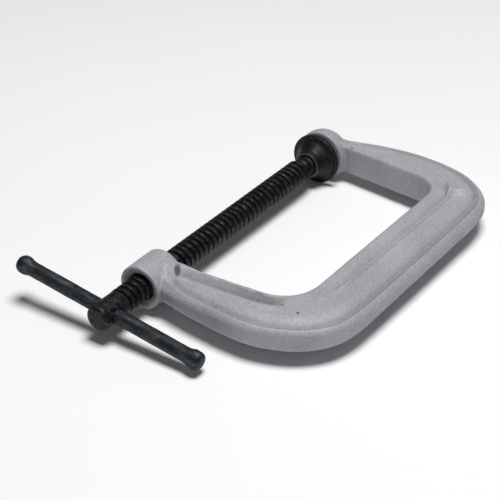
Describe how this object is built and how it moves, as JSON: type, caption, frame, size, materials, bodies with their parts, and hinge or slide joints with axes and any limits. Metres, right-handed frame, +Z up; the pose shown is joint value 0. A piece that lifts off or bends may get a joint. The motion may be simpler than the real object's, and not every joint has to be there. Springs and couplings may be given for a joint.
{
  "type": "c clamp",
  "caption": "Forged steel C-clamp with a threaded screw, a sliding tommy bar and a round swivel pad facing a round anvil.",
  "frame": {"origin": "centre of the anvil's flat face, on the screw's axis", "axes": "+X along the screw from the handle towards the anvil, +Y from the spine towards the screw, +Z up with the clamp lying on its side"},
  "size_m": [0.1805, 0.1319, 0.0232],
  "materials": {
    "frame_paint": "silver-grey paint over a slightly rough forging",
    "screw_black": "satin black oxide with lightly polished thread crests",
    "pad_black": "satin black oxide with a bare crimped collar edge",
    "bar_black": "black oxide with faint scuffs"
  },
  "bodies": {
    "frame": {"frame": "frame_paint"},
    "ball": {"ball_tip": "screw_black"},
    "screw": {"spindle": "screw_black"},
    "pad": {"swivel_pad": "pad_black"},
    "bar": {"handle_bar": "bar_black"}
  },
  "joints": [
    {"name": "screw_travel", "type": "slide", "parent": "frame", "child": "ball", "axis": [-1, 0, 0], "range_m": [-0.0008, 0.1024]},
    {"name": "screw_turn", "type": "hinge", "parent": "ball", "child": "screw", "pos_m": [-0.1, 0, 0], "axis": [-1, 0, 0], "range_deg": [-90, 11608]},
    {"name": "pad_swivel", "type": "hinge", "parent": "ball", "child": "pad", "pos_m": [-0.0092, 0, 0], "axis": [0, 0, 1], "range_deg": [-7, 7]},
    {"name": "bar_slide", "type": "slide", "parent": "screw", "child": "bar", "axis": [0, 0.9914, 0.1305], "range_m": [-0.0335, 0.0335]}
  ],
  "couplings": [
    {"joint": "screw_travel", "follows": "screw_turn", "m_per_rad": 0.00050532}
  ]
}
